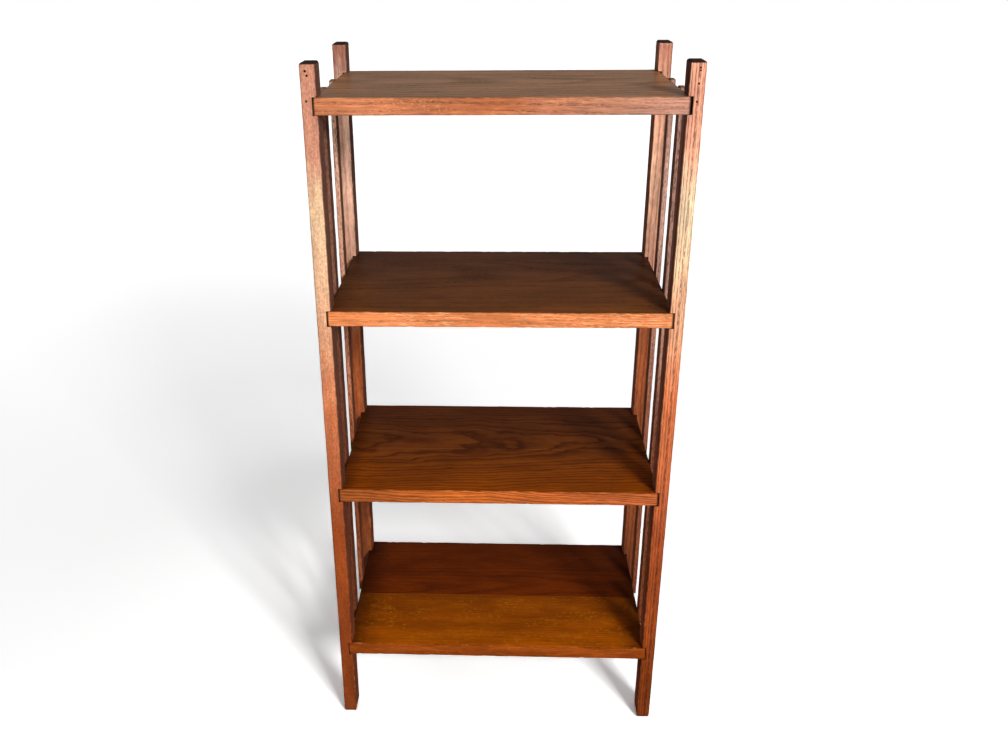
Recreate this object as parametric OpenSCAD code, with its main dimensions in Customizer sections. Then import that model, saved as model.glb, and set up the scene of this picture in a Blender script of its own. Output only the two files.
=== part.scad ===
// Oak book stand: four posts, four housed shelves and two upright slats on each side.
// X runs to the right, Y to the back and Z up; the origin is on the floor under the middle of the stand.

/* [Overall] */
// Width over the outer faces of the posts
stand_w = 533; // [400:1:900]
// Depth over the front and back faces of the posts
stand_d = 313; // [240:1:450]

/* [Heights] */
// Clear height under the bottom shelf
leg_h = 126; // [60:1:250]
// Clear height between the bottom and the lower shelf
lower_bay_h = 277; // [180:0.5:400]
// Clear height between the lower and the upper shelf
middle_bay_h = 273.5; // [180:0.5:400]
// Clear height between the upper and the top shelf
upper_bay_h = 278; // [180:0.5:400]
// Height of the post ends above the top shelf
post_rise = 45; // [15:1:150]

/* [Posts] */
// Width of a post seen from the front
post_w = 22; // [18:0.5:36]
// Depth of a post seen from the side
post_d = 34; // [24:0.5:50]
// Radius worn on the long edges of a post
post_edge_r = 1.6; // [0.5:0.1:4]
// Radius worn on the top and foot of a post
post_end_r = 4; // [1:0.1:6]

/* [Shelves] */
// Thickness of a shelf
shelf_t = 23.5; // [16:0.5:30]
// Radius worn on the edges of a shelf
shelf_edge_r = 1.8; // [0.5:0.1:4]
// Distance of the glued seam in front of the middle of the shelf
seam_forward = 15; // [-40:1:40]
// Width of the small groove that shows at the seam
seam_groove = 0.5; // [0.2:0.1:1.5]
// Amount by which the right end of the top shelf was cut short
top_shelf_short = 1.5; // [0:0.1:3]

/* [Housings] */
// Depth of the housing cut into the inner face of a post
housing_depth = 7.5; // [5:0.1:10]
// Gap left behind the end of a shelf in its housing
housing_end_gap = 1.5; // [0.2:0.1:3]
// Height to spare above a shelf in its housing
housing_slack = 0.6; // [0.1:0.1:1.5]

/* [Slats] */
// Thickness of a slat
slat_t = 8.5; // [4:0.5:10]
// Width of a slat
slat_w = 22; // [16:0.5:34]
// Radius worn on the edges of a slat
slat_edge_r = 1; // [0.3:0.1:1.5]
// Distance by which the pair of slats sits in front of even spacing
slat_forward = 5.5; // [0:0.5:12]

/* [Screws] */
// Diameter of the shank of a post screw
screw_d = 4.2; // [3:0.1:5]
// Diameter of the flat head of a post screw
screw_head_d = 8.2; // [7:0.1:10]
// Angle of the cone under the head
screw_head_angle = 82; // [60:1:100]
// Width of the slot in the head
screw_slot_w = 1.1; // [0.6:0.1:1.6]
// Depth of the slot in the head
screw_slot_depth = 1.2; // [0.5:0.1:1.4]
// Turn of the slot from one screw to the next one up the post
screw_turn = 50; // [0:5:90]
// Length of a screw inside the shelf
screw_bite = 22; // [12:1:40]

/* [Brads] */
// Diameter of a slat brad
brad_d = 1.6; // [1:0.1:2.4]
// Diameter of the head of a brad
brad_head_d = 3; // [2.6:0.1:4]
// Thickness of the head of a brad
brad_head_t = 0.8; // [0.4:0.1:1.2]
// Distance between the two brads that hold a slat to a shelf
brad_spacing = 11; // [6:0.5:12]
// Length of a brad inside the shelf
brad_bite = 18; // [8:1:30]

/* [Fits] */
// Clearance around a screw or a brad in its hole
hole_clearance = 0.1; // [0.05:0.05:0.3]
// Depth of a hole beyond the point of its screw or brad
hole_over = 1; // [0.5:0.5:3]

/* [Hidden] */
$fn = 48;

LEFT = -1;
RIGHT = 1;
FRONT = -1;
BACK = 1;

BOTTOM_SHELF = 0;
LOWER_SHELF = 1;
UPPER_SHELF = 2;
TOP_SHELF = 3;

// Underside of each shelf above the floor, from the bottom shelf up
bay_heights = [lower_bay_h, middle_bay_h, upper_bay_h];
function shelf_z(i) = i == BOTTOM_SHELF ? leg_h : shelf_z(i - 1) + shelf_t + bay_heights[i - 1];
top_shelf_z = shelf_z(TOP_SHELF) + shelf_t;
stand_h = top_shelf_z + post_rise;

// Planes that the joints share, measured from the middle of the stand
half_w = stand_w / 2;
half_d = stand_d / 2;
post_inner_x = half_w - post_w;
housing_x = post_inner_x + housing_depth;
shelf_end_x = housing_x - housing_end_gap;
slat_outer_x = shelf_end_x + slat_t;
post_y = half_d - post_d / 2;
seam_y = -seam_forward;

// Slats share the space between the posts evenly, then move forward together
slat_gap = (stand_d - 2 * post_d - 2 * slat_w) / 3;
function slat_y(end) = end * (slat_gap + slat_w) / 2 - slat_forward;
slat_z = shelf_z(BOTTOM_SHELF);
slat_h = top_shelf_z - slat_z;

// Fastener lengths, from the wood that each one passes through
screw_len = half_w - shelf_end_x + screw_bite;
screw_head_h = (screw_head_d - screw_d) / 2 / tan(screw_head_angle / 2);
screw_point_h = 2 * screw_d;
brad_len = slat_t + brad_bite;
brad_point_h = 2 * brad_d;

// Overshoot of a cutting tool past the face that it cuts
cut = 1;

// Rectangle about the origin with rounded corners
module eased_rect(w, h, r) {
    square([w - 2 * r, h], center = true);
    square([w, h - 2 * r], center = true);
    for (x = [-1, 1], y = [-1, 1])
        translate([x * (w / 2 - r), y * (h / 2 - r)])
            circle(r);
}

// Upright bar on the plane z = 0, with its long edges and both of its ends rounded
module eased_bar(w, d, h, edge_r, end_r) {
    intersection() {
        linear_extrude(h)
            eased_rect(w, d, edge_r);
        translate([0, d / 2, h / 2])
            rotate([90, 0, 0])
                linear_extrude(d)
                    eased_rect(w, h, end_r);
        translate([-w / 2, 0, h / 2])
            rotate([90, 0, 90])
                linear_extrude(w)
                    eased_rect(d, h, end_r);
    }
}

// Flat-headed screw pointing down from z = 0, grown by the given clearance
module screw_form(clearance) {
    translate([0, 0, -screw_head_h])
        cylinder(h = screw_head_h, d1 = screw_d + 2 * clearance, d2 = screw_head_d + 2 * clearance);
    translate([0, 0, screw_point_h - screw_len])
        cylinder(h = screw_len - screw_point_h - screw_head_h / 2, d = screw_d + 2 * clearance);
}

// Screw with its point and slot
module screw() {
    difference() {
        union() {
            screw_form(0);
            translate([0, 0, -screw_len])
                cylinder(h = screw_point_h, d1 = 0, d2 = screw_d);
        }
        translate([-screw_head_d, -screw_slot_w / 2, -screw_slot_depth])
            cube([2 * screw_head_d, screw_slot_w, screw_slot_depth + cut]);
    }
}

// Countersunk hole for a screw, open at the head and deeper than the point
module screw_hole() {
    screw_form(hole_clearance);
    translate([0, 0, -screw_len - hole_over])
        cylinder(h = screw_len, d = screw_d + 2 * hole_clearance);
    cylinder(h = cut, d = screw_head_d + 2 * hole_clearance);
}

// Wire brad pointing down from z = 0, with its head let in flush
module brad() {
    translate([0, 0, -brad_head_t])
        cylinder(h = brad_head_t, d = brad_head_d);
    translate([0, 0, brad_point_h - brad_len])
        cylinder(h = brad_len - brad_point_h, d = brad_d);
    translate([0, 0, -brad_len])
        cylinder(h = brad_point_h, d1 = 0, d2 = brad_d);
}

// Hole for a brad and its head
module brad_hole() {
    translate([0, 0, -brad_head_t])
        cylinder(h = brad_head_t + cut, d = brad_head_d + 2 * hole_clearance);
    translate([0, 0, -brad_len - hole_over])
        cylinder(h = brad_len + hole_over, d = brad_d + 2 * hole_clearance);
}

// Puts a fastener at the given outer face, height and depth, pointing at the middle of the stand
module from_side(side, x, y, z) {
    translate([side * x, y, z])
        rotate([0, side * 90, 0])
            children();
}

// Places of the screws of one post
module at_screws(side, end) {
    for (i = [BOTTOM_SHELF : TOP_SHELF])
        from_side(side, half_w, end * post_y, shelf_z(i) + shelf_t / 2)
            rotate([0, 0, i * screw_turn])
                children();
}

// Places of the brads of one slat
module at_brads(side, end) {
    for (i = [BOTTOM_SHELF : TOP_SHELF], step = [-1, 1])
        from_side(side, slat_outer_x, slat_y(end) + step * brad_spacing / 2, shelf_z(i) + shelf_t / 2)
            children();
}

// Post with a housing for each shelf in its inner face
module post(side, end) {
    difference() {
        translate([side * (half_w - post_w / 2), end * post_y, 0])
            eased_bar(post_w, post_d, stand_h, post_edge_r, post_end_r);
        for (i = [BOTTOM_SHELF : TOP_SHELF])
            translate([side > 0 ? post_inner_x - cut : -housing_x, end * post_y - post_d / 2 - cut, shelf_z(i)])
                cube([housing_depth + cut, post_d + 2 * cut, shelf_t + housing_slack]);
        at_screws(side, end)
            screw_hole();
    }
}

// Whole shelf before its seam is cut, with its edges eased and its holes bored
module shelf(i) {
    right_x = shelf_end_x - (i == TOP_SHELF ? top_shelf_short : 0);
    length = right_x + shelf_end_x;
    middle = (right_x - shelf_end_x) / 2;
    difference() {
        translate([middle, 0, shelf_z(i) + shelf_t / 2])
            intersection() {
                translate([0, half_d, 0])
                    rotate([90, 0, 0])
                        linear_extrude(stand_d)
                            eased_rect(length, shelf_t, shelf_edge_r);
                translate([-length / 2, 0, 0])
                    rotate([90, 0, 90])
                        linear_extrude(length)
                            eased_rect(stand_d, shelf_t, shelf_edge_r);
            }
        for (side = [LEFT, RIGHT], end = [FRONT, BACK]) {
            at_screws(side, end)
                screw_hole();
            at_brads(side, end)
                brad_hole();
        }
        translate([-half_w, seam_y, shelf_z(i) + shelf_t - seam_groove / 2])
            rotate([45, 0, 0])
                cube([stand_w, seam_groove, seam_groove]);
    }
}

// Front or back board of a shelf, on its side of the seam
module shelf_board(i, end) {
    board_y = end == FRONT ? -half_d - cut : seam_y;
    board_w = end == FRONT ? half_d + cut + seam_y : half_d + cut - seam_y;
    intersection() {
        shelf(i);
        translate([-half_w, board_y, shelf_z(i) - cut])
            cube([stand_w, board_w, shelf_t + 2 * cut]);
    }
}

// Thin upright slat against the shelf ends
module slat(side, end) {
    difference() {
        translate([side * (shelf_end_x + slat_t / 2), slat_y(end), slat_z])
            eased_bar(slat_t, slat_w, slat_h, slat_edge_r, slat_edge_r);
        at_brads(side, end)
            brad_hole();
    }
}

module front_left_post() { color("peru") post(LEFT, FRONT); }
module front_right_post() { color("peru") post(RIGHT, FRONT); }
module back_left_post() { color("sienna") post(LEFT, BACK); }
module back_right_post() { color("sienna") post(RIGHT, BACK); }

module top_shelf_front_board() { color("saddlebrown") shelf_board(TOP_SHELF, FRONT); }
module top_shelf_back_board() { color("saddlebrown") shelf_board(TOP_SHELF, BACK); }
module upper_shelf_front_board() { color("saddlebrown") shelf_board(UPPER_SHELF, FRONT); }
module upper_shelf_back_board() { color("saddlebrown") shelf_board(UPPER_SHELF, BACK); }
module lower_shelf_front_board() { color("chocolate") shelf_board(LOWER_SHELF, FRONT); }
module lower_shelf_back_board() { color("saddlebrown") shelf_board(LOWER_SHELF, BACK); }
module bottom_shelf_front_board() { color("chocolate") shelf_board(BOTTOM_SHELF, FRONT); }
module bottom_shelf_back_board() { color("saddlebrown") shelf_board(BOTTOM_SHELF, BACK); }

module left_front_slat() { color("sienna") slat(LEFT, FRONT); }
module left_back_slat() { color("sienna") slat(LEFT, BACK); }
module right_front_slat() { color("sienna") slat(RIGHT, FRONT); }
module right_back_slat() { color("sienna") slat(RIGHT, BACK); }

module front_left_post_screws() { color("dimgray") at_screws(LEFT, FRONT) screw(); }
module front_right_post_screws() { color("dimgray") at_screws(RIGHT, FRONT) screw(); }
module back_left_post_screws() { color("dimgray") at_screws(LEFT, BACK) screw(); }
module back_right_post_screws() { color("dimgray") at_screws(RIGHT, BACK) screw(); }

module left_front_slat_brads() { color("gray") at_brads(LEFT, FRONT) brad(); }
module left_back_slat_brads() { color("gray") at_brads(LEFT, BACK) brad(); }
module right_front_slat_brads() { color("gray") at_brads(RIGHT, FRONT) brad(); }
module right_back_slat_brads() { color("gray") at_brads(RIGHT, BACK) brad(); }

front_left_post();
front_right_post();
back_left_post();
back_right_post();
top_shelf_front_board();
top_shelf_back_board();
upper_shelf_front_board();
upper_shelf_back_board();
lower_shelf_front_board();
lower_shelf_back_board();
bottom_shelf_front_board();
bottom_shelf_back_board();
left_front_slat();
left_back_slat();
right_front_slat();
right_back_slat();
front_left_post_screws();
front_right_post_screws();
back_left_post_screws();
back_right_post_screws();
left_front_slat_brads();
left_back_slat_brads();
right_front_slat_brads();
right_back_slat_brads();
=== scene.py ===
# %% [markdown]
# An old oak book stand, dressed for a photograph. The imported model gives every board, slat, screw and
# brad its place, and this lesson gives them the look of stained and shellacked oak that has been handled
# for a century. The frame is loaded first, and its box is kept for the tone ladders.

import math

import bmesh
import bpy
from mathutils import Matrix, Vector, noise


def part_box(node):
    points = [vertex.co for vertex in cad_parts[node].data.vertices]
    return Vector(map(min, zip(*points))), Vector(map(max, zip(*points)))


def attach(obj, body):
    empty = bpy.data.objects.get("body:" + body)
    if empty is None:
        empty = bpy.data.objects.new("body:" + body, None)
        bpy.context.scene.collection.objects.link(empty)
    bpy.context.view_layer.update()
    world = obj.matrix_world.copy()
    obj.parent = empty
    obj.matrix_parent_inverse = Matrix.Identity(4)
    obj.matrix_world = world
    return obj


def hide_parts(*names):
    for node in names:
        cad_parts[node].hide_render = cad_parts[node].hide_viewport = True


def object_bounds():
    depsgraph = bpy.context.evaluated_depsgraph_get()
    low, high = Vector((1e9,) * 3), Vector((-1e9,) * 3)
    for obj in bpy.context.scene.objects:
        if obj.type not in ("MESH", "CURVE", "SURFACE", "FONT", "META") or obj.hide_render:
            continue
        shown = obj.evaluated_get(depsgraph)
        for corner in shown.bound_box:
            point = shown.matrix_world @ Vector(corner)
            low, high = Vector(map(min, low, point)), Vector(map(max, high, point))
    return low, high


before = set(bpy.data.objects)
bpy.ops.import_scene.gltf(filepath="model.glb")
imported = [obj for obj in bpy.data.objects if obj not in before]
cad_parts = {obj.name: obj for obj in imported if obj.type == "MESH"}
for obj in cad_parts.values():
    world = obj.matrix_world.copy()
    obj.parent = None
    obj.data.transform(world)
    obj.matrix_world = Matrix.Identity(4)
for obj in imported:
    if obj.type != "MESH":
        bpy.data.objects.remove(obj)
cad_lo, cad_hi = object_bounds()
MM = 0.001
print("stand in mm:", [round(v / MM) for v in cad_hi - cad_lo], "nodes:", len(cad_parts))

# %% [markdown]
# The camera stands where the photographer stood: chest high, a long step in front, looking down at the
# shelves. Its lens could be turned to centre the stand, but that would tip the posts, so a small shift
# of the lens does it, as on a view camera.

# %% Camera
IMAGE_W = 1008
FOCAL_PX = 981.0
CENTRE_OFFSET_PX = (45.4, 5.15)
CAMERA_MM = Vector((-0.9, -1493.4, 1230.9))
LOOK_DOWN, LOOK_RIGHT, ROLL = (math.radians(angle) for angle in (24.0, -2.52, -0.55))
SENSOR_MM = 36.0

lens = bpy.data.cameras.new("photo_lens")
lens.sensor_width = SENSOR_MM
lens.lens = SENSOR_MM * FOCAL_PX / IMAGE_W
lens.shift_x = CENTRE_OFFSET_PX[0] / IMAGE_W
lens.shift_y = CENTRE_OFFSET_PX[1] / IMAGE_W
camera = bpy.data.objects.new("photo_camera", lens)
camera.matrix_world = (
    Matrix.Translation(CAMERA_MM * MM)
    @ Matrix.Rotation(-LOOK_RIGHT, 4, "Z")
    @ Matrix.Rotation(math.pi / 2 - LOOK_DOWN, 4, "X")
    @ Matrix.Rotation(ROLL, 4, "Z")
)
bpy.context.scene.collection.objects.link(camera)
bpy.context.scene.camera = camera
bpy.context.scene.view_settings.view_transform = "Standard"
print("lens in mm:", round(lens.lens, 2))

# %% [markdown]
# No arris of a stand this old is perfect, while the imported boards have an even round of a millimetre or
# two. Sculpting would wear them too, but never twice in the same way, so each board is replaced by a
# copy whose arrises are knocked in by a fixed noise. Noise only moves points that are there, so the copy
# is first cut into short slices. Cutting the middle first and then each half keeps every cut small.

# %% Slices
SHELVES = ("top_shelf", "upper_shelf", "lower_shelf", "bottom_shelf")
SIDES = ("left", "right")
ENDS = ("front", "back")
POSTS = [f"{end}_{side}_post" for end in ENDS for side in SIDES]
SLATS = [f"{side}_{end}_slat" for side in SIDES for end in ENDS]
ON_PLANE = 1e-7
BESIDE_PLANE = 1e-6


def slice_up(form, axis, places, parts=None):
    """Cuts a form square to one axis at rising places, the middle one first and then each half."""
    if not places:
        return
    parts = parts or form.edges[:] + form.faces[:]
    square = Vector([n == axis for n in range(3)])
    half = len(places) // 2
    place = places[half]
    cut = bmesh.ops.bisect_plane(form, geom=parts, dist=ON_PLANE, plane_co=square * place, plane_no=square)
    kept = [part for part in cut["geom"] if not isinstance(part, bmesh.types.BMVert)]
    spans = [(part, [vert.co[axis] for vert in part.verts]) for part in kept]
    before = [part for part, span in spans if min(span) < place - BESIDE_PLANE]
    after = [part for part, span in spans if max(span) > place + BESIDE_PLANE]
    slice_up(form, axis, places[:half], before)
    slice_up(form, axis, places[half + 1 :], after)


print("boards to wear:", len(POSTS) + len(SLATS) + len(SHELVES) * len(ENDS))

# %% [markdown]
# Two noises wear an arris: a slow one for the rub of hands, and a quick one that only shows where it is
# high, for single knocks. How near a point is to an arris follows from its box: the nearest face is at
# no distance, and the second nearest one meets it at the arris. The feet are rounded further, because
# they were dragged over floors, by drawing their lowest rows in along a quarter of an ellipse.

# %% Knocks and feet
REACH = 3.5
WEAR, LEAST_SLOW, SLOW_MM, SLOW_RISE = 0.4, 0.2, 40, 0.6
KNOCK, QUICK_MM, QUICK_FROM = 2.2, 7, 0.25
APART = 90
FOOT_RISE, FOOT_INSET = 9.0, (4.6, 3.4)
FOOT_ROWS = (0.5, 1, 1.7, 2.5, 3.5, 5, 7)


def knock_in(form, lo, hi):
    """Pushes the points near the arrises of a box towards its middle."""
    middle = (lo + hi) / 2
    for vert in form.verts:
        gaps = sorted((min(vert.co[n] - lo[n], hi[n] - vert.co[n]) / MM, n) for n in range(3))
        reach = gaps[1][0]
        if reach < REACH:
            sides = [math.copysign(1.0, vert.co[n] - middle[n]) for n in range(3)]
            spot = vert.co / MM + APART * Vector(sides)
            slow = noise.noise(spot / SLOW_MM) + SLOW_RISE
            quick = max(0.0, noise.noise(spot / QUICK_MM) - QUICK_FROM)
            push = (WEAR * max(slow, LEAST_SLOW) + KNOCK * quick) * (1 - reach / REACH)
            for _, n in gaps[:2]:
                vert.co[n] -= sides[n] * push * MM


def round_foot(form, lo, hi):
    """Rounds the lowest part of a post, which years of dragging have worn."""
    slice_up(form, 2, [lo.z + rise * MM for rise in FOOT_ROWS])
    for vert in form.verts:
        low = max(0.0, 1 - (vert.co.z - lo.z) / (FOOT_RISE * MM))
        for n, most in enumerate(FOOT_INSET):
            inset = most * MM * (1 - math.sqrt(1 - low * low))
            vert.co[n] = min(max(vert.co[n], lo[n] + inset), hi[n] - inset)


print("wear reaches in by mm:", REACH, "and the foot's up by:", FOOT_RISE)

# %% [markdown]
# A imported node is loose triangles, so the copy is merged and its flats are joined before it is sliced.
# Two slices just inside each arris, and one on both sides of a seam, keep the flats flat in the shading.
# The copy then rides on the stand and stands for its node, which is hidden.

# %% Worn copies
SLICE = 5.0
SAME_POINT = 1e-6
FLAT, CREASE = math.radians(0.2), math.radians(35)


def worn(node, along, lo, hi, slot, seam=()):
    """A copy of a board with worn arrises, in its place; lo and hi bound what is worn as one."""
    axis = "XYZ".index(along)
    form = bmesh.new()
    form.from_mesh(bpy.data.objects[node].data)
    bmesh.ops.remove_doubles(form, verts=form.verts, dist=SAME_POINT)
    bmesh.ops.dissolve_limit(form, angle_limit=FLAT, verts=form.verts, edges=form.edges)
    for n in range(3):
        if n != axis:
            slice_up(form, n, [lo[n] + inset * MM for inset in (REACH, REACH + 1)])
            slice_up(form, n, [hi[n] - inset * MM for inset in (REACH + 1, REACH)])
    slice_up(form, 1, seam)
    count = round((hi[axis] - lo[axis]) / (SLICE * MM))
    slice_up(form, axis, [lo[axis] + (hi[axis] - lo[axis]) * n / count for n in range(1, count)])
    knock_in(form, lo, hi)
    if node in POSTS:
        round_foot(form, lo, hi)
    mesh = bpy.data.meshes.new(node + "_worn")
    form.to_mesh(mesh)
    form.free()
    mesh.shade_smooth()
    mesh.set_sharp_from_angle(angle=CREASE)
    piece = bpy.data.objects.new(node + "_worn", mesh)
    bpy.context.scene.collection.objects.link(piece)
    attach(piece, "root")
    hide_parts(node)
    return piece


boards = {}
for node in POSTS:
    boards[node] = worn(node, "Z", *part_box(node), "post_oak")
for node in SLATS:
    boards[node] = worn(node, "Z", *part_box(node), "slat_oak")
print("worn posts and slats:", len(boards))

# %% [markdown]
# The two boards of a shelf are worn as one, because nothing knocks the seam between them. Their ends are
# spared by wearing them as if they were longer: the bottom shelf's wholly, since its housings hold it
# tight, and the others' by half, since their corners show in wider housings.

# %% Worn shelves
SEAM_SIDE = 2.0

for shelf in SHELVES:
    (lo, _), (seam_lo, hi) = (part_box(f"{shelf}_{end}_board") for end in ENDS)
    spared = Vector(((1.0 if shelf == "bottom_shelf" else 0.5) * REACH * MM, 0, 0))
    seam = [seam_lo.y + side * SEAM_SIDE * MM for side in (-1, 1)]
    for end in ENDS:
        node = f"{shelf}_{end}_board"
        boards[node] = worn(node, "X", lo - spared, hi + spared, "shelf_oak", seam)
print("worn boards:", len(boards), "faces:", sum(len(board.data.polygons) for board in boards.values()))

# %% [markdown]
# The front posts have old nail holes near their tops, three in the left one and four in the right. Dark
# spots of colour would pass from the front, but a real hole stays dark from every side, so one boolean
# cuts them with a few tapered pins.

# %% Nail holes
HOLES = {
    "front_left_post": ((-258.5, 1082.5, 1.7), (-256.3, 1077.0, 1.5), (-259.2, 1044.0, 1.5)),
    "front_right_post": (
        (258.0, 1085.0, 1.3), (258.2, 1081.5, 1.2), (257.4, 1065.0, 1.4), (256.7, 1042.0, 1.4),
    ),
}
HOLE_DEPTH, HOLE_FLARE, HOLE_SIDES = 6.0, 1.15, 10


def bore(piece, holes, front):
    """Cuts tapered holes into the front of a piece; each hole is across, height and radius in mm."""
    pins = bmesh.new()
    for x, z, radius in holes:
        turn = Matrix.Translation((x * MM, front, z * MM)) @ Matrix.Rotation(-math.pi / 2, 4, "X")
        bmesh.ops.create_cone(
            pins, cap_ends=True, segments=HOLE_SIDES, radius1=radius * MM, radius2=radius * HOLE_FLARE * MM,
            depth=2 * HOLE_DEPTH * MM, matrix=turn,
        )
    mesh = bpy.data.meshes.new("nail_pins")
    pins.to_mesh(mesh)
    pins.free()
    cutter = bpy.data.objects.new("nail_pins", mesh)
    bpy.context.scene.collection.objects.link(cutter)
    cut = piece.modifiers.new("nail_holes", "BOOLEAN")
    cut.operation, cut.solver, cut.object = "DIFFERENCE", "EXACT", cutter
    shown = piece.evaluated_get(bpy.context.evaluated_depsgraph_get())
    piece.data = bpy.data.meshes.new_from_object(shown)
    piece.modifiers.clear()
    bpy.data.objects.remove(cutter)


for node, holes in HOLES.items():
    before = len(boards[node].data.polygons)
    bore(boards[node], holes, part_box(node)[0].y)
    print(node, "faces before and after the holes:", before, len(boards[node].data.polygons))

# %% [markdown]
# Three helpers serve every finish. One turns the sRGB hex colours that a painter would mix into the
# linear numbers that the shader works with, one adds a node with its settings and whatever feeds it, and
# one starts a new material. A Map Range node is given its limits by number: 1 and 2 for what comes in,
# 3 and 4 for what goes out. A Mix node lays one colour over another, or tints it by multiplying.

# %% Helpers for finishes
MATH, VECTOR, SPLIT = "ShaderNodeMath", "ShaderNodeVectorMath", "ShaderNodeSeparateXYZ"
RANGE, MIX, NOISE, BUMP = "ShaderNodeMapRange", "ShaderNodeMix", "ShaderNodeTexNoise", "ShaderNodeBump"
PLACE, MAP = "ShaderNodeTexCoord", "ShaderNodeMapping"
SMOOTH = dict(interpolation_type="SMOOTHSTEP")
UNDER, OVER = 6, 7
LAYER = dict(out=2, data_type="RGBA")
TINT = dict(LAYER, blend_type="MULTIPLY")


def linear(code):
    """Linear RGBA of an sRGB hex colour."""
    channels = [int(code[i : i + 2], 16) / 255 for i in (1, 3, 5)]
    return [c / 12.92 if c <= 0.04045 else ((c + 0.055) / 1.055) ** 2.4 for c in channels] + [1.0]


def add(tree, kind, feeds, out=0, **settings):
    """One output of a new node; feeds gives each input, by name or number, a value or another output."""
    made = tree.nodes.new(kind)
    for key, value in settings.items():
        setattr(made, key, value)
    for socket, source in feeds.items():
        if isinstance(source, bpy.types.NodeSocket):
            tree.links.new(source, made.inputs[socket])
        else:
            made.inputs[socket].default_value = source
    return made.outputs[out]


def finish(name):
    """A new material with a bare shader."""
    made = bpy.data.materials.new(name)
    made.use_nodes = True
    return made, made.node_tree, made.node_tree.nodes["Principled BSDF"]


print("middle grey in linear light:", round(linear("#808080")[0], 3))

# %% [markdown]
# The wood is white oak, sawn, planed and stained. Oak grows in rings that are open and dark on one side
# and dense on the other, so a board shows lines or arches depending on where in the log it was cut. A
# wave texture would draw such lines on each face by itself. Here the rings are worked out around the
# heart of a log that lies beside each board, in millimetres, so that the face, the edge and the end of a
# board agree as they do in real wood.

# %% Growth rings
WANDER_MM = 70
RING_RUN, RING_SPREAD = 0.3, 2.5
OPEN_UNTIL, OPEN_AGAIN = 0.55, 0.88


def log_space(tree, heart, along, tilt):
    """Place in the log in mm, with the grain along its third axis."""
    lean = (tilt[0], math.pi / 2 + tilt[1], tilt[2]) if along == "X" else tilt
    place = add(tree, PLACE, {}, "Object")
    feeds = {"Vector": place, "Location": heart, "Rotation": lean, "Scale": (MM,) * 3}
    return add(tree, MAP, feeds, vector_type="TEXTURE")


def speckle(tree, place, size, detail=2.0):
    """Noise whose spots have the given size in mm."""
    scaled = add(tree, MAP, {"Vector": place, "Scale": [1 / s for s in size]})
    return add(tree, NOISE, {"Vector": scaled, "Scale": 1.0, "Detail": detail})


def growth(tree, log, ring, sway, wave):
    """The log with its wandering rings, and the dark open side of each ring."""
    slow = add(tree, MAP, {"Vector": log, "Scale": (1 / WANDER_MM, 1 / WANDER_MM, 1 / wave)})
    drift = add(tree, NOISE, {"Vector": slow, "Scale": 1.0, "Detail": 3.0}, "Color")
    drift = add(tree, VECTOR, {0: drift, 1: (0.5, 0.5, 0.5)}, operation="SUBTRACT")
    bent = add(tree, VECTOR, {0: drift, 1: (sway, sway, 0), 2: log}, operation="MULTIPLY_ADD")
    across = add(tree, VECTOR, {0: bent, 1: (1, 1, 0)}, operation="MULTIPLY")
    radius = add(tree, VECTOR, {0: across}, "Value", operation="LENGTH")
    uneven = add(tree, NOISE, {"W": radius, "Scale": RING_RUN / ring, "Detail": 1.0}, noise_dimensions="1D")
    years = add(tree, MATH, {0: uneven, 1: RING_SPREAD * ring, 2: radius}, operation="MULTIPLY_ADD")
    years = add(tree, MATH, {0: years, 1: ring}, operation="DIVIDE")
    season = add(tree, MATH, {0: years}, operation="FRACT")
    opened = add(tree, RANGE, {0: season, 1: 0.0, 2: OPEN_UNTIL, 3: 1.0, 4: 0.0}, **SMOOTH)
    closed = add(tree, RANGE, {0: season, 1: OPEN_AGAIN, 2: 1.0}, **SMOOTH)
    return bent, add(tree, MATH, {0: opened, 1: closed}, operation="MAXIMUM")


print("the rings wander over mm:", WANDER_MM)

# %% [markdown]
# A hundred years of sun, hands and dusters leave no single brown. A post's tone is a ladder of colours
# up its height, with noise to break the rungs: a cream band high up, which is a painted highlight, and
# rungs that darken towards the feet. A board may have a second tone for the faces that are turned to one
# side: the rubbed edges of the shelves, and the inner sides of the posts and slats, darkened as painted
# shade.

# %% Tones
STRAY = 0.15
BREAK_UP = (9, 9, 40)


def tone_of(tree, tone, log):
    """One colour, or a ladder of colours along an axis, with the place of each in mm."""
    if isinstance(tone, str):
        return linear(tone)
    axis, ladder = tone
    low, high = (end["XYZ".index(axis)] for end in (cad_lo, cad_hi))
    stray = STRAY * (high - low)
    place = add(tree, PLACE, {}, "Object")
    place = add(tree, SPLIT, {0: place}, axis)
    broken = speckle(tree, log, BREAK_UP, 5.0)
    level = add(tree, MATH, {0: broken, 1: stray, 2: place}, operation="MULTIPLY_ADD")
    level = add(tree, RANGE, {0: level, 1: low + stray / 2, 2: high + stray / 2})
    steps = add(tree, "ShaderNodeValToRGB", {0: level}, "Color")
    rungs = steps.node.color_ramp.elements
    rungs.remove(rungs[0])
    for number, (mm, code) in enumerate(ladder):
        spot = (mm * MM - low) / (high - low)
        rung = rungs.new(spot) if number else rungs[0]
        rung.position = spot
        rung.color = linear(code)
    return steps


def turned(tree, axis, start, end, way=None):
    """How far a face is turned along one axis, either way or only one way."""
    normal = add(tree, "ShaderNodeNewGeometry", {}, "Normal")
    lean = add(tree, SPLIT, {0: normal}, axis)
    if way:
        lean = add(tree, MATH, {0: lean, 1: way}, operation="MULTIPLY")
    else:
        lean = add(tree, MATH, {0: lean}, operation="ABSOLUTE")
    return add(tree, RANGE, {0: lean, 1: start, 2: end}, **SMOOTH)


print("a rung strays by a share of the height:", STRAY)

# %% [markdown]
# Stain never takes evenly: it lies in clouds, runs along the fibres and dries in small blotches. Each is
# a noise of its own size, and together they only brighten or darken the tone, so that its hue stays.

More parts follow.
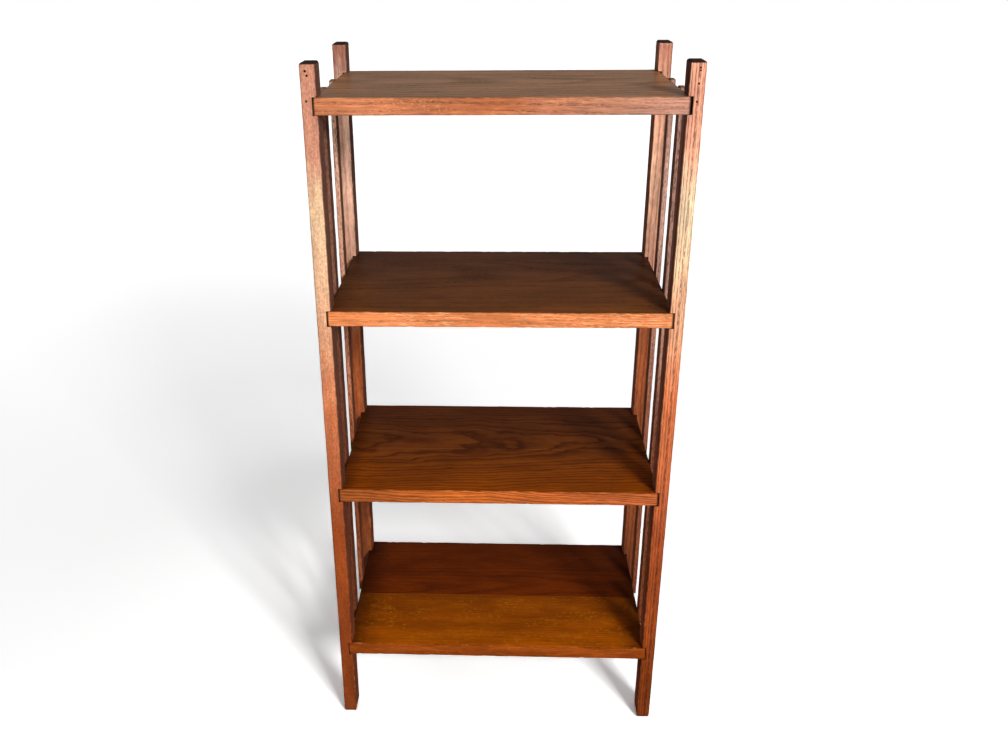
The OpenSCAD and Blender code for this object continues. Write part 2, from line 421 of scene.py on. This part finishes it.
# %% Stain
CLOUD, CLOUD_SHADES = (30, 30, 120), {3: 0.8, 4: 1.18}
FIBRE, FIBRE_SHADES = (0.8, 0.8, 30), {3: 0.86, 4: 1.12}
BLOTCH_SHADES = {3: -1.0, 4: 1.0}
USUAL = {1: 0.3, 2: 0.7}


def stained(tree, log, edged, mottle, cut):
    """The tones of a board with clouds, fibres and blotches, and the fibres by themselves."""
    face, side = (tone_of(tree, tone, log) for tone in (cut["tone"], cut["edge"][1]))
    colour = add(tree, MIX, {0: edged, UNDER: face, OVER: side}, **LAYER)
    cloud = add(tree, RANGE, {0: speckle(tree, log, CLOUD, 4.0), **USUAL, **CLOUD_SHADES}, **SMOOTH)
    fibre = add(tree, RANGE, {0: speckle(tree, log, FIBRE), **USUAL, **FIBRE_SHADES}, **SMOOTH)
    shade = add(tree, MATH, {0: cloud, 1: fibre}, operation="MULTIPLY")
    wide, long = cut["spot"]
    blotch = speckle(tree, log, (wide, wide, long), 5.0)
    blotch = add(tree, RANGE, {0: blotch, **USUAL, **BLOTCH_SHADES}, **SMOOTH)
    blotch = add(tree, MATH, {0: blotch, 1: mottle, 2: 1.0}, operation="MULTIPLY_ADD")
    shade = add(tree, MATH, {0: shade, 1: blotch}, operation="MULTIPLY")
    return add(tree, MIX, {0: 1.0, UNDER: colour, OVER: shade}, **TINT), fibre


print("a cloud in the stain in mm:", CLOUD)

# %% [markdown]
# Oak is known by its rays, which show as pale flecks across the grain, and by its pores, which show as
# short dark strokes along it and crowd on the open side of a ring. A pore measures a quarter of a
# millimetre, and is drawn a few times wider so that it shows in the render.

# %% Rays and pores
STAIN = "#2c1208"
CROWD, CROWD_LIMITS = (30, 30, 60), {1: 0.38, 2: 0.58}
FLECK_LIMITS = {1: 0.53, 2: 0.66}
PORE_EDGE = 0.1
OPEN_SIDE = {1: 0.1, 2: 0.9}


def flecked(tree, log, bent, colour, rays, cut):
    """A colour with the pale flecks of the rays, which lie in crowds."""
    fleck = add(tree, RANGE, {0: speckle(tree, bent, cut["ray"]), **FLECK_LIMITS}, **SMOOTH)
    crowd = add(tree, RANGE, {0: speckle(tree, log, CROWD, 1.0), **CROWD_LIMITS}, **SMOOTH)
    fleck = add(tree, MATH, {0: fleck, 1: crowd}, operation="MULTIPLY")
    fleck = add(tree, MATH, {0: fleck, 1: rays}, operation="MULTIPLY")
    return add(tree, MIX, {0: fleck, UNDER: colour, OVER: linear(cut["ray_tone"])}, **LAYER)


def pored(tree, log, porous, colour, pores, cut):
    """A colour with dark pores, and the pores by themselves."""
    wide, long = cut["pore"]
    vessel = speckle(tree, log, (wide, wide, long))
    vessel = add(tree, RANGE, {0: vessel, 1: cut["dense"], 2: cut["dense"] + PORE_EDGE}, **SMOOTH)
    where = add(tree, RANGE, {0: porous, **OPEN_SIDE, 3: 1.0 - cut["ringed"], 4: 1.0}, **SMOOTH)
    vessel = add(tree, MATH, {0: vessel, 1: where}, operation="MULTIPLY")
    inked = add(tree, MATH, {0: vessel, 1: pores}, operation="MULTIPLY")
    return add(tree, MIX, {0: inked, UNDER: colour, OVER: linear(STAIN)}, **LAYER), vessel


print("a crowd of rays in mm:", CROWD)

# %% [markdown]
# Age shows where hands, dusters and dirt reach, and painted shade shows where light doesn't. How deep a
# point lies in its board's box tells all of it: an arris is where two faces are near, a housing or a nail
# hole lies below the nearest face, and the end of a board is near along the grain. A painted mask would do
# the same, but only for one board.

# %% Depth in a board
def depths(tree, lo, hi):
    """How far in mm a point is from the faces square to each axis, the nearest one, and an arris."""
    middle, half = (Vector(lo) + Vector(hi)) / 2, (Vector(hi) - Vector(lo)) / 2
    place = add(tree, PLACE, {}, "Object")
    offset = add(tree, VECTOR, {0: place, 1: middle}, operation="SUBTRACT")
    offset = add(tree, VECTOR, {0: offset}, operation="ABSOLUTE")
    depth = add(tree, VECTOR, {0: half, 1: offset}, operation="SUBTRACT")
    depth = add(tree, VECTOR, {0: depth, "Scale": 1 / MM}, operation="SCALE")
    x, y, z = (add(tree, SPLIT, {0: depth}, axis) for axis in "XYZ")
    nearer = add(tree, MATH, {0: x, 1: y}, operation="MINIMUM")
    farther = add(tree, MATH, {0: x, 1: y}, operation="MAXIMUM")
    other = add(tree, MATH, {0: farther, 1: z}, operation="MINIMUM")
    below = add(tree, MATH, {0: nearer, 1: z}, operation="MINIMUM")
    return (x, y, z), below, add(tree, MATH, {0: nearer, 1: other}, operation="MAXIMUM")


post_lo, post_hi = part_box(POSTS[0])
print("a post from face to face in mm:", [round(v / MM, 1) for v in post_hi - post_lo])

# %% [markdown]
# The layers go on in this order: dust, where no cloth reaches, and painted shade in the corners of the
# shelves, grime and painted shade along the arrises, bare wood where they are rubbed, dirt and painted
# shade in every recess, and the end grain, which drank more stain than any face. One ragged noise frays
# all of their limits.

# %% Dirt, wear and painted shade
BARE, DIRT_AND_SHADE = "#d29a68", "#1c0c08"
FRAY = (5, 5, 16)
DUST_SHADE_FRAY, DUST_SHADE_FULL = 30.0, 18.0
GRIME_SHADE_FRAY, GRIME_SHADE_LIMITS = -4.0, {1: -1.6, 2: -0.4}
RUB_FRAY, RUB_LIMITS = 16.0, {1: 5.5, 2: 8.0}
RECESS_LIMITS = {1: 1.0, 2: 2.2}
END_FRAY, END_LIMITS, END_TURN = 3.0, {1: 2.4, 2: 4.2, 3: 0.9, 4: 0.0}, (0.25, 0.65)


def aged_and_shaded(tree, log, box, edged, colour, cut):
    """A colour with dust and painted shade at the ends, grime and painted shade along arrises, bare arrises,
    dirt and painted shade in recesses and dark ends, and how matt these are.
    """
    ragged = speckle(tree, log, FRAY, 4.0)
    reach, below, arris = depths(tree, *box)
    inset = reach["XYZ".index(cut["along"])]
    strength, width = cut["dust_and_corner_shade"]
    # Dust near the ends of a board, which also stands for painted shade in the corners by the posts.
    dusty_and_shaded = add(tree, MATH, {0: ragged, 1: DUST_SHADE_FRAY, 2: inset}, operation="MULTIPLY_ADD")
    dusty_and_shaded = add(tree, RANGE, {0: dusty_and_shaded, 1: DUST_SHADE_FULL, 2: width, 3: strength, 4: 0.0}, **SMOOTH)
    faced = add(tree, MATH, {0: 1.0, 1: edged}, operation="SUBTRACT")
    dusty_and_shaded = add(tree, MATH, {0: dusty_and_shaded, 1: faced}, operation="MULTIPLY")
    colour = add(tree, MIX, {0: dusty_and_shaded, UNDER: colour, OVER: linear(DIRT_AND_SHADE)}, **LAYER)
    # Grime along the arrises, partly dirt and partly painted shade on their rounds.
    grimy_and_shaded = add(tree, MATH, {0: ragged, 1: GRIME_SHADE_FRAY, 2: arris}, operation="MULTIPLY_ADD")
    grimy_and_shaded = add(tree, RANGE, {0: grimy_and_shaded, **GRIME_SHADE_LIMITS, 3: cut["grime_and_arris_shade"], 4: 0.0}, **SMOOTH)
    colour = add(tree, MIX, {0: grimy_and_shaded, UNDER: colour, OVER: linear(STAIN)}, **LAYER)
    rubbed = add(tree, MATH, {0: ragged, 1: RUB_FRAY, 2: arris}, operation="MULTIPLY_ADD")
    rubbed = add(tree, RANGE, {0: rubbed, **RUB_LIMITS, 3: cut["wear"], 4: 0.0}, **SMOOTH)
    colour = add(tree, MIX, {0: rubbed, UNDER: colour, OVER: linear(BARE)}, **LAYER)
    # Recesses are darkened: partly dirt and partly painted shade.
    sunk = add(tree, RANGE, {0: below, **RECESS_LIMITS}, **SMOOTH)
    colour = add(tree, MIX, {0: sunk, UNDER: colour, OVER: linear(DIRT_AND_SHADE)}, **LAYER)
    end = add(tree, MATH, {0: ragged, 1: END_FRAY, 2: inset}, operation="MULTIPLY_ADD")
    end = add(tree, RANGE, {0: end, **END_LIMITS}, **SMOOTH)
    end = add(tree, MATH, {0: end, 1: turned(tree, cut["along"], *END_TURN)}, operation="MAXIMUM")
    colour = add(tree, MIX, {0: end, UNDER: colour, OVER: linear(cut["ends"])}, **LAYER)
    return colour, add(tree, MATH, {0: sunk, 1: end}, operation="MAXIMUM")


print("dust fades out from mm:", DUST_SHADE_FULL, "limits of a recess in mm:", list(RECESS_LIMITS.values()))

# %% [markdown]
# Now the oak itself. A cut is a dictionary that says where in its log a board lies and how its finish
# has aged. Its lengths are in millimetres and its strengths run from 0 to 1, and a pair of strengths is
# for the faces and for the sides that have the second tone. Shellac is smooth when new, so the roughness
# starts at about a third and the pores dull it, while recesses and ends are matt. Its gloss is kept low,
# because a century of dust has taken most of it.

# %% Oak
PLAIN = dict(
    tilt=(0, 0, 0),  # lean of the log, in radians
    ring=6.0,  # width of a ring
    sway=14.0,  # how far the rings wander
    wave=300.0,  # how long a wander is
    lines=0.6,  # strength of the ring lines
    ink="#7a4a34",  # tint of the ring lines
    pore=(0.9, 7),  # width and length of a pore
    pores=(0.5, 0.6),  # strength of the pores
    dense=0.5,  # level of noise from which a pore shows
    ringed=0.9,  # how closely the pores keep to the rings
    spot=(4, 14),  # width and length of a blotch
    mottle=(0.12, 0.3),  # strength of the blotches
    ray=(6, 10, 2.2),  # size of a fleck
    rays=(0.0, 0.0),  # strength of the flecks
    ray_tone="#e09a62",
    # strength of the grime and painted shade along the arrises
    grime_and_arris_shade=0.45,
    wear=0.4,
    dust_and_corner_shade=(0.0, 48.0),  # strength and width of the dust and painted shade at the ends
    ends="#2e1a12",  # tone of the end grain
    gloss=(0.34, 0.34),  # roughness
    shine=0.2,  # specular level
)
EDGE_TURN = (0.4, 0.8)
PORE_DULL = 0.3
RING_DIP = -0.2
GRAIN_STRENGTH, GRAIN_MM = 0.5, 0.25


def oak(node, cut, whole=None):
    """Stained and shellacked oak for one board, or for a board of a whole that is worn as one."""
    made, tree, shader = finish(node + "_oak")
    lo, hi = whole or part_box(node)
    heart = (Vector(lo) + Vector(hi)) / 2 + Vector(cut["heart"]) * MM
    log = log_space(tree, heart, cut["along"], cut["tilt"])
    bent, porous = growth(tree, log, cut["ring"], cut["sway"], cut["wave"])
    inward = -math.copysign(1.0, lo[0] + hi[0]) if cut["along"] == "Z" else None
    edged = turned(tree, cut["edge"][0], *EDGE_TURN, inward)
    pairs = (cut[name] for name in ("pores", "mottle", "rays", "gloss"))
    pores, mottle, rays, gloss = (
        add(tree, RANGE, {0: edged, 3: face, 4: side}, **SMOOTH) for face, side in pairs
    )
    colour, fibre = stained(tree, log, edged, mottle, cut)
    line = add(tree, MATH, {0: porous, 1: cut["lines"]}, operation="MULTIPLY")
    colour = add(tree, MIX, {0: line, UNDER: colour, OVER: linear(cut["ink"])}, **TINT)
    colour = flecked(tree, log, bent, colour, rays, cut)
    colour, vessel = pored(tree, log, porous, colour, pores, cut)
    colour, matt = aged_and_shaded(tree, log, (lo, hi), edged, colour, cut)
    tree.links.new(colour, shader.inputs["Base Color"])
    dull = add(tree, MATH, {0: vessel, 1: PORE_DULL, 2: gloss}, operation="MULTIPLY_ADD")
    dull = add(tree, MATH, {0: dull, 1: matt}, operation="MAXIMUM")
    tree.links.new(dull, shader.inputs["Roughness"])
    shader.inputs["Specular IOR Level"].default_value = cut["shine"]
    height = add(tree, MATH, {0: vessel, 1: -1.0, 2: fibre}, operation="MULTIPLY_ADD")
    height = add(tree, MATH, {0: porous, 1: RING_DIP, 2: height}, operation="MULTIPLY_ADD")
    bump = add(tree, BUMP, {"Height": height, "Strength": GRAIN_STRENGTH, "Distance": GRAIN_MM * MM})
    tree.links.new(bump, shader.inputs["Normal"])
    return made


def dress(piece, material):
    """Gives a piece its finish."""
    slots = piece.data.materials
    slots.clear()
    slots.append(material)


print("values in a cut:", len(PLAIN))

# %% [markdown]
# Each post has its own place in a log. The left front one is flat sawn and nearly plain, while the right
# one is cut across the rings, which stripes it with columns of pores. Their inner sides are darkened as
# painted shade, and are quite matt.

# %% Posts
# Up the posts: a cream band that is a painted highlight, and darker towards the feet. The rear posts' upper
# rungs are also lightened, as painted light against the top shelf's shadow.
LEFT_WITH_HIGHLIGHT = ("Z", (
    (100, "#944318"), (360, "#9a481e"), (600, "#bc6e48"),
    (780, "#d6a886"), (900, "#d8b490"), (980, "#ba8068"),
))
RIGHT_WITH_HIGHLIGHT = ("Z", (
    (80, "#90400f"), (200, "#b0521e"), (360, "#aa5028"), (620, "#d4774a"),
    (780, "#e6b28e"), (900, "#f4d8b2"), (980, "#e8a284"),
))
REAR_LEFT_WITH_HIGHLIGHT = ("Z", (
    (80, "#8e4c2c"), (600, "#b86236"), (760, "#e4ac90"), (980, "#f6c8b0"), (1080, "#b47862"),
))
REAR_RIGHT_WITH_HIGHLIGHT = ("Z", (
    (80, "#8e4c2c"), (600, "#a85a34"), (760, "#e0a488"), (880, "#f0b898"), (1080, "#e0987c"),
))
# The inner sides of the posts and slats are darkened as painted shade.
INNER_SHADE = ("X", ("Z", ((80, "#84401e"), (400, "#6e3a24"), (700, "#6a4030"), (1080, "#6e4a3c"))))
POST = dict(
    PLAIN, along="Z", edge=INNER_SHADE, gloss=(0.3, 1.0), lines=0.35, pores=(0.4, 0.4), mottle=(0.15, 0.3),
    grime_and_arris_shade=0.6,
)
POST_CUTS = {
    "front_left_post": dict(
        POST, tone=LEFT_WITH_HIGHLIGHT, heart=(10, 90, 0), ring=14, lines=0.15, pore=(1.6, 3), pores=(0.7, 0.4), dense=0.64,
        ringed=0.2, mottle=(0.2, 0.3), spot=(2.2, 4),
    ),
    "front_right_post": dict(
        POST, tone=RIGHT_WITH_HIGHLIGHT, heart=(-140, 25, 0), ring=3.6, sway=3, pore=(1.3, 8), pores=(0.6, 0.4), dense=0.42,
    ),
    "back_left_post": dict(
        POST, tone=REAR_LEFT_WITH_HIGHLIGHT, heart=(25, 50, 0), tilt=(0.02, 0.02, 0), ring=5, lines=0.2, pores=(0.3, 0.4),
    ),
    "back_right_post": dict(POST, tone=REAR_RIGHT_WITH_HIGHLIGHT, heart=(70, 40, 0), tilt=(0.01, 0.01, 0)),
}
for node, cut in POST_CUTS.items():
    dress(boards[node], oak(node, cut))
print("posts dressed:", len(POST_CUTS))

# %% [markdown]
# The slats are thin boards nailed to the ends of the shelves. Their inner sides, like those of the posts,
# are darkened as painted shade. Their fronts grow lighter up their height, as on the posts; on the left
# side the front slat is darker, as painted shade where its post shades it, and the back slat is lightened
# up high, as painted light against the top shelf's shadow. Their upper ends are level with the top shelf
# and dusty like it, so they aren't as dark as the ends of the posts.

# %% Slats
# The front left slat's brown is painted shade of its post; the back left slat's salmon is lightened up high
# as painted light against the top shelf's shadow.
BROWN_WITH_PAINTED_SHADE = ("Z", ((100, "#8a4a2c"), (500, "#74422e"), (760, "#92624e"), (1080, "#966856")))
SALMON_WITH_PAINTED_LIGHT = ("Z", ((100, "#b0623a"), (450, "#b8663e"), (660, "#dc9270"), (800, "#ecb092"), (1080, "#f8c8ac")))
PINK = ("Z", ((100, "#9a5430"), (500, "#a8664a"), (760, "#d0a08c"), (1080, "#c8988a")))
SLAT = dict(
    PLAIN, along="Z", edge=INNER_SHADE, gloss=(0.35, 1.0), ring=5, lines=0.3, pore=(1.6, 6), pores=(0.6, 0.4),
    ringed=0.3, grime_and_arris_shade=0.5, wear=0.05, ends="#8a6648",
)
SLAT_CUTS = {
    "left_front_slat": dict(SLAT, tone=BROWN_WITH_PAINTED_SHADE, heart=(30, 60, 0)),
    "left_back_slat": dict(SLAT, tone=SALMON_WITH_PAINTED_LIGHT, heart=(30, 40, 0), tilt=(0.05, 0, 0)),
    "right_front_slat": dict(SLAT, tone=PINK, heart=(-40, 30, 0)),
    "right_back_slat": dict(SLAT, tone=PINK, heart=(-30, 50, 0)),
}
for node, cut in SLAT_CUTS.items():
    dress(boards[node], oak(node, cut))
print("slats dressed:", len(SLAT_CUTS))

# %% [markdown]
# The shelves darken from the top one, which the sun reached, to the bottom one, whose front board still
# has its orange shellac and pale flecks. Their tops are nearly without gloss, and below the top shelf
# they darken towards the back: painted shade under the shelf above, and on the lower and bottom shelves
# also the tones of their two boards. The front edges are rubbed to tones of their own, which change a
# little from left to right on the top and lower shelves.

# %% Shelf cuts
SHELF = dict(
    PLAIN, along="X", ends="#4a2b1a", shine=0.02, pores=(0.25, 0.45), lines=0.4, mottle=(0.12, 0.2),
    spot=(1.8, 24),
)
TOP_EDGE = ("X", ((-200, "#ba7450"), (0, "#b66c46"), (140, "#b27a60"), (250, "#ba8a7a")))
TOP = dict(
    SHELF, tone="#ac764a", edge=("Y", TOP_EDGE), shine=0.08, heart=(0, 20, -280), tilt=(0, 0.02, 0),
    lines=0.2, rays=(0.0, 0.6), ray=(2, 2, 5), ray_tone="#e0905c",
)
# Darker towards the back, as painted shade under the top shelf.
UPPER_FACE_AND_SHADE = ("Y", ((-156, "#80481a"), (0, "#6a3c1a"), (156, "#5a3118")))
# The pale streaks on this shelf's front edge are partly ray flecks and partly a painted highlight.
UPPER = dict(
    SHELF, tone=UPPER_FACE_AND_SHADE, edge=("Y", "#d88250"), dust_and_corner_shade=(0.4, 60.0), heart=(0, 30, -280), tilt=(0, 0.02, 0),
    lines=0.12, rays=(0.0, 0.6), ray=(1.2, 1.2, 14), ray_tone="#f4c294",
)
# Darker towards the back, partly the two boards' tones and partly painted shade under the shelf above.
LOWER_FACE_AND_SHADE = ("Y", ((-150, "#a85106"), (-15, "#7c3e10"), (100, "#663210")))
LOWER_EDGE = ("X", ((-240, "#b06030"), (-60, "#d47030"), (240, "#bc6438")))
LOWER = dict(
    SHELF, tone=LOWER_FACE_AND_SHADE, edge=("Y", LOWER_EDGE), dust_and_corner_shade=(0.5, 48.0), heart=(0, 10, -220),
    tilt=(0, 0.02, 0.03), ring=3.7, sway=15, wave=130, lines=0.55,
)
BOTTOM = dict(SHELF, dust_and_corner_shade=(0.75, 80.0), edge=("Y", "#a04c18"))
BOTTOM_FRONT = dict(
    BOTTOM, tone=("Y", ((-156, "#b85a04"), (-15, "#984a04"))), heart=(0, -240, -15), lines=0.12,
    pores=(0.1, 0.3), rays=(0.5, 0.2), ray=(4, 4, 7), ray_tone="#cc7a14",
)
# The back board is darker, partly by its own tone and partly as painted shade under the lower shelf.
BOTTOM_BACK = dict(
    BOTTOM, tone=("Y", ((-15, "#783004"), (156, "#662804"))), heart=(0, 10, -60), tilt=(0, 0.02, 0.04),
    ring=5, lines=0.25,
)
print("rings of the lower shelf in mm:", LOWER["ring"])

# %% [markdown]
# The two boards of a shelf take their wear from one box, so the seam stays as sound as the rest. For the
# bottom shelf that box is longer by what its housings hide, because no end grain shows at its corners.

# %% Shelves
SHELF_CUTS = {
    "top_shelf": (TOP, TOP),
    "upper_shelf": (UPPER, UPPER),
    "lower_shelf": (LOWER, LOWER),
    "bottom_shelf": (BOTTOM_FRONT, BOTTOM_BACK),
}
HOUSED_MM = 6.0

for shelf, cuts in SHELF_CUTS.items():
    pair = [f"{shelf}_{end}_board" for end in ENDS]
    (lo, _), (_, hi) = (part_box(node) for node in pair)
    housed = Vector((HOUSED_MM * MM if shelf == "bottom_shelf" else 0.0, 0, 0))
    for node, cut in zip(pair, cuts):
        dress(boards[node], oak(node, cut, (lo - housed, hi + housed)))
print("shelves dressed:", len(SHELF_CUTS))

# %% [markdown]
# The screws and brads are plain drawn steel gone brown: a dull metal with patches of rust where damp oak
# touched it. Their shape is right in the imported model, so they only get a finish. Rust is no metal, so
# one noise lowers the metallic value together with the colour.

# %% Steel
RUST_LIMITS = {1: 0.42, 2: 0.62}
RUST_METAL, RUST_ROUGH = 0.2, 0.8
RUST_STRENGTH, RUST_MM = 0.4, 0.1


def steel(name, bright, rust, patch, dull):
    """Aged steel with rust patches of a given size in mm."""
    made, tree, shader = finish(name)
    place = add(tree, PLACE, {}, "Object")
    place = add(tree, MAP, {"Vector": place, "Scale": (1 / MM,) * 3})
    rusted = add(tree, RANGE, {0: speckle(tree, place, (patch,) * 3, 4.0), **RUST_LIMITS}, **SMOOTH)
    colour = add(tree, MIX, {0: rusted, UNDER: linear(bright), OVER: linear(rust)}, **LAYER)
    metal = add(tree, RANGE, {0: rusted, 3: 1.0, 4: RUST_METAL}, **SMOOTH)
    rough = add(tree, RANGE, {0: rusted, 3: dull, 4: RUST_ROUGH}, **SMOOTH)
    bump = add(tree, BUMP, {"Height": rusted, "Strength": RUST_STRENGTH, "Distance": RUST_MM * MM})
    tree.links.new(colour, shader.inputs["Base Color"])
    tree.links.new(metal, shader.inputs["Metallic"])
    tree.links.new(rough, shader.inputs["Roughness"])
    tree.links.new(bump, shader.inputs["Normal"])
    return made


screw_steel = steel("aged_screw_steel", "#8c8076", "#4e3426", 1.6, 0.38)
brad_steel = steel("aged_brad_steel", "#6e655e", "#43301f", 0.9, 0.5)
for node in POSTS:
    dress(bpy.data.objects[node + "_screws"], screw_steel)
for node in SLATS:
    dress(bpy.data.objects[node + "_brads"], brad_steel)
print("fastener finishes:", screw_steel.name, brad_steel.name)

# %% [markdown]
# The photograph has a white ground with the stand's shadow on it. More light would make a floor white,
# but it would bleach the oak too. So the floor and the room are white to the camera and through glass,
# in part to a reflection, and plain grey to the light that bounces on to the oak.

# %% White room
MIRRORED = 0.15
FLOOR_HALF = 12.0


def seen_white(tree):
    """How white the room is to a ray: fully to the camera or through glass, and in part to a reflection."""
    kinds = ("Is Camera Ray", "Is Transmission Ray", "Is Glossy Ray")
    direct, through, mirrored = (add(tree, "ShaderNodeLightPath", {}, kind) for kind in kinds)
    clear = add(tree, MATH, {0: direct, 1: through}, operation="MAXIMUM")
    return add(tree, MATH, {0: mirrored, 1: MIRRORED, 2: clear}, operation="MULTIPLY_ADD")


floor_mesh = bpy.data.meshes.new("floor")
shape = bmesh.new()
bmesh.ops.create_grid(shape, x_segments=1, y_segments=1, size=FLOOR_HALF)
shape.to_mesh(floor_mesh)
shape.free()
floor = bpy.data.objects.new("floor", floor_mesh)
bpy.context.scene.collection.objects.link(floor)
print("floor in m:", 2 * FLOOR_HALF)

# %% [markdown]
# The floor is matt white paint. A soft glow lifts it to white far from the stand and least at a spot
# beside it, which leaves the grey that the photograph has at the left. A glow would wash out the small
# shadows at the feet, so near them the paint itself is brighter instead and the glow is taken away.

# %% Floor paint
WHITE, GREY = "#f4f4f4", "#707070"
NEAR_LIMITS = {1: 0.0, 2: 0.7, 3: 0.95, 4: 0.0}
NEAR_MOST, NEAR_PAINT = 1.0, (2.1, 2.1, 2.1, 1)
GREY_SPOT = (-0.65, 0.5, 0)
GLOW_LIMITS = {1: 0.0, 2: 3.6, 3: 0.46, 4: 1.0}
PAINT_ROUGH = 0.9

paint, tree, shader = finish("white_floor")
seen = seen_white(tree)
place = add(tree, PLACE, {}, "Object")
near = NEAR_MOST
for node in POSTS:
    foot = (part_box(node)[0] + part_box(node)[1]) / 2
    gap = add(tree, VECTOR, {0: place, 1: (foot.x, foot.y, 0)}, "Value", operation="DISTANCE")
    near = add(tree, MATH, {0: near, 1: gap}, operation="MINIMUM")
near = add(tree, RANGE, {0: near, **NEAR_LIMITS})
white = add(tree, MIX, {0: near, UNDER: linear(WHITE), OVER: NEAR_PAINT}, **LAYER)
shade = add(tree, MIX, {0: seen, UNDER: linear(GREY), OVER: white}, **LAYER)
tree.links.new(shade, shader.inputs["Base Color"])
away = add(tree, VECTOR, {0: place, 1: GREY_SPOT}, "Value", operation="DISTANCE")
glow = add(tree, RANGE, {0: away, **GLOW_LIMITS})
farther = add(tree, RANGE, {0: near, 3: 1.0, 4: 0.0})
glow = add(tree, MATH, {0: glow, 1: farther}, operation="MULTIPLY")
glow = add(tree, MATH, {0: seen, 1: glow}, operation="MULTIPLY")
tree.links.new(glow, shader.inputs["Emission Strength"])
shader.inputs["Emission Color"].default_value = (1, 1, 1, 1)
shader.inputs["Roughness"].default_value = PAINT_ROUGH
shader.inputs["Specular IOR Level"].default_value = 0.0
floor_mesh.materials.append(paint)
print("floor paint:", paint.name)

# %% [markdown]
# The main light is a window to the right of the camera, high enough to throw the shadows of the posts to
# the back left. Two weak lamps in front reach under the shelves, and two behind keep the inner sides,
# the outer sides and the back from going black. Their beams are narrow, so that they light the stand and
# not the floor, and only the window is let into reflections, since four more would grey the shellac.

# %% Light
ROOM_DARK, ROOM_MORE = 0.2, 0.8

world = bpy.data.worlds.new("studio")
bpy.context.scene.world = world
world.use_nodes = True
sky = world.node_tree
level = add(sky, MATH, {0: seen_white(sky), 1: ROOM_MORE, 2: ROOM_DARK}, operation="MULTIPLY_ADD")
ground = sky.nodes["Background"]
sky.links.new(level, ground.inputs["Strength"])
ground.inputs["Color"].default_value = (1, 1, 1, 1)


def softbox(name, place, target, size, watts, spread=180, tint="#ffffff", gleam=False):
    """A soft rectangular lamp that looks at a point; lengths in metres, spread in degrees."""
    lamp = bpy.data.lights.new(name, "AREA")
    lamp.shape = "RECTANGLE"
    lamp.size, lamp.size_y = size
    lamp.energy = watts
    lamp.color = linear(tint)[:3]
    lamp.spread = math.radians(spread)
    holder = bpy.data.objects.new(name, lamp)
    aim = (Vector(target) - Vector(place)).to_track_quat("-Z", "Y")
    holder.matrix_world = Matrix.Translation(place) @ aim.to_matrix().to_4x4()
    holder.visible_camera = False
    holder.visible_glossy = gleam
    bpy.context.scene.collection.objects.link(holder)


softbox("low_front", (0.0, -3.2, 0.1), (0, 0, 0.93), (0.8, 0.22), 1.6, 36, "#fff2dc")
softbox("front", (0.05, -3.2, 1.1), (0, 0, 0.95), (0.6, 0.5), 2.5, 50)
softbox("right_window", (2.06, -3.85, 2.82), (0, 0, 0.5), (1.05, 1.0), 170, gleam=True)
softbox("back_left", (-2.6, 2.6, 0.5), (0, 0, 0.75), (0.8, 0.8), 3.0, 36)
softbox("back_right", (2.6, 2.6, 0.5), (0, 0, 0.75), (0.8, 0.8), 1.2, 36)
